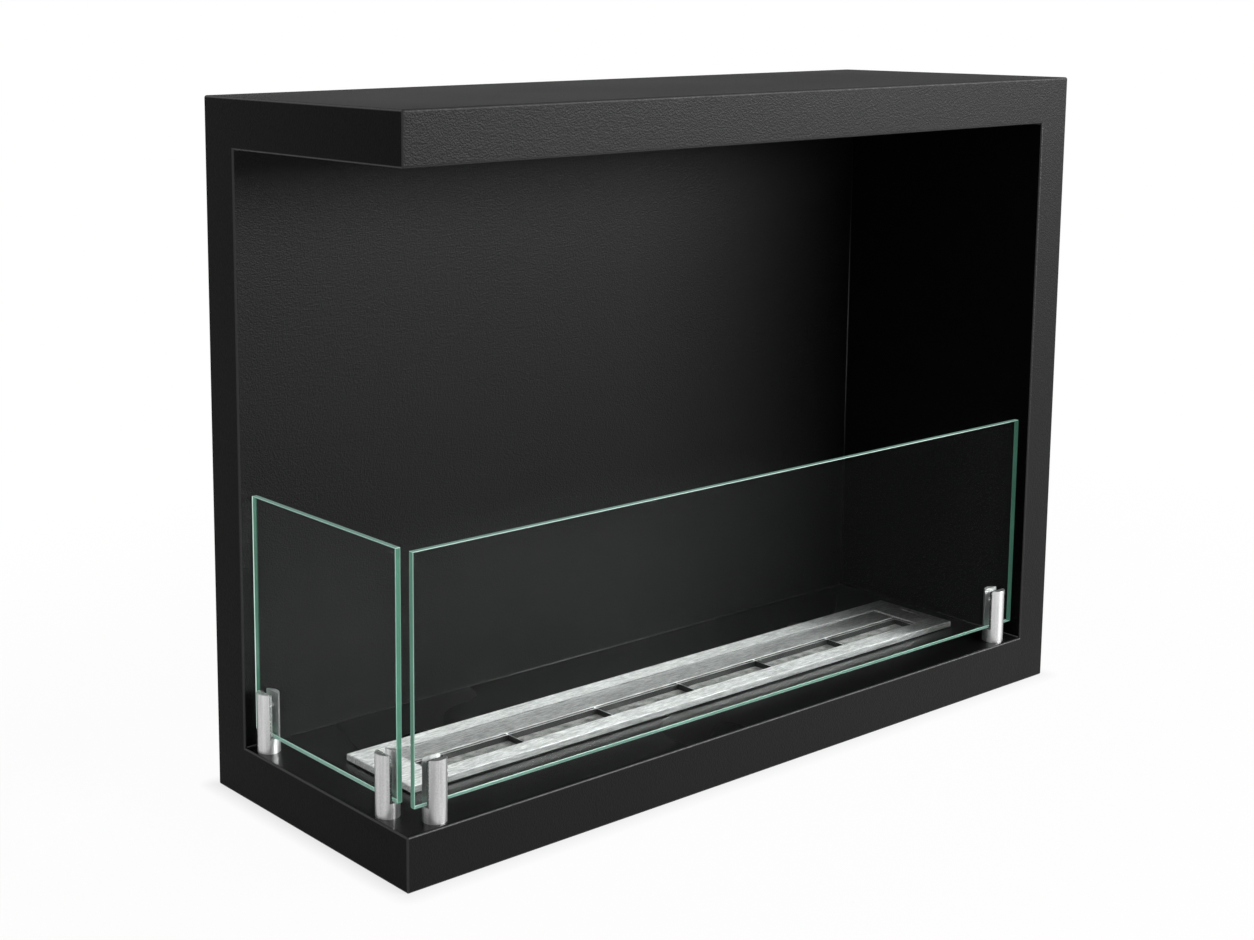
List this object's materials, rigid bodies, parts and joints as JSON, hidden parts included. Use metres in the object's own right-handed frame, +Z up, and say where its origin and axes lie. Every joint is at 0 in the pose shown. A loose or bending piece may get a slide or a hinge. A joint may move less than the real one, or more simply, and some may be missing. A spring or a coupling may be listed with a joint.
{
  "type": "bioethanol fireplace",
  "caption": "Corner bioethanol fireplace: matt black steel case open to the front and left, low glass screen on round steel posts, long burner with a sliding regulator in the hearth.",
  "frame": {"origin": "middle of the footprint of the case, on the surface that it stands on", "axes": "+X along the front to the closed right side, +Y from the open front to the closed rear, +Z up"},
  "size_m": [0.8, 0.274, 0.6],
  "materials": {
    "black_paint": "matt black powder coat with a fine texture",
    "zinc_sheet": "zinc-coated sheet steel",
    "zinc_screw": "bright zinc",
    "fibre_board": "light mineral-fibre insulation board",
    "clear_glass": "clear toughened float glass with polished edges",
    "brushed_post": "turned stainless steel, satin",
    "soft_tip": "pale plastic",
    "clear_liner": "clear soft plastic",
    "brushed_plate": "stainless steel brushed lengthwise",
    "brushed_slider": "stainless steel brushed lengthwise",
    "plain_steel": "plain stainless sheet",
    "grey_wool": "ceramic wool"
  },
  "bodies": {
    "case": {"base_shell": "black_paint", "top_shell": "black_paint", "right_shell": "black_paint", "rear_shell": "black_paint", "rear_cover": "zinc_sheet", "cover_rails": "zinc_sheet", "hanger_doublers": "zinc_sheet", "cover_screws": "zinc_screw", "rear_insulation": "fibre_board", "right_insulation": "fibre_board", "top_insulation": "fibre_board", "top_stiffeners": "zinc_sheet", "base_channels": "zinc_sheet", "spill_tray": "zinc_sheet", "side_rear_post": "brushed_post", "side_front_post": "brushed_post", "front_left_post": "brushed_post", "front_right_post": "brushed_post", "foot_screws": "zinc_screw", "clamp_screws": "brushed_post", "clamp_tips": "soft_tip", "glass_liners": "clear_liner"},
    "burner": {"burner_top": "brushed_plate", "burner_tank": "plain_steel", "trough": "plain_steel", "trough_ribs": "plain_steel", "rib_rail": "plain_steel", "ceramic_wool": "grey_wool"},
    "regulator": {"regulator_plate": "brushed_slider"},
    "front_glass": {"front_pane": "clear_glass"},
    "side_glass": {"side_pane": "clear_glass"}
  },
  "joints": [
    {"name": "burner_lift", "type": "slide", "parent": "case", "child": "burner", "axis": [0, 0, 1], "range_m": [0, 0.06]},
    {"name": "regulator_slide", "type": "slide", "parent": "burner", "child": "regulator", "axis": [0, -1, 0], "range_m": [0, 0.0279]},
    {"name": "front_pane_lift", "type": "slide", "parent": "case", "child": "front_glass", "axis": [0, 0, 1], "range_m": [0, 0.045]},
    {"name": "side_pane_lift", "type": "slide", "parent": "case", "child": "side_glass", "axis": [0, 0, 1], "range_m": [0, 0.045]}
  ]
}
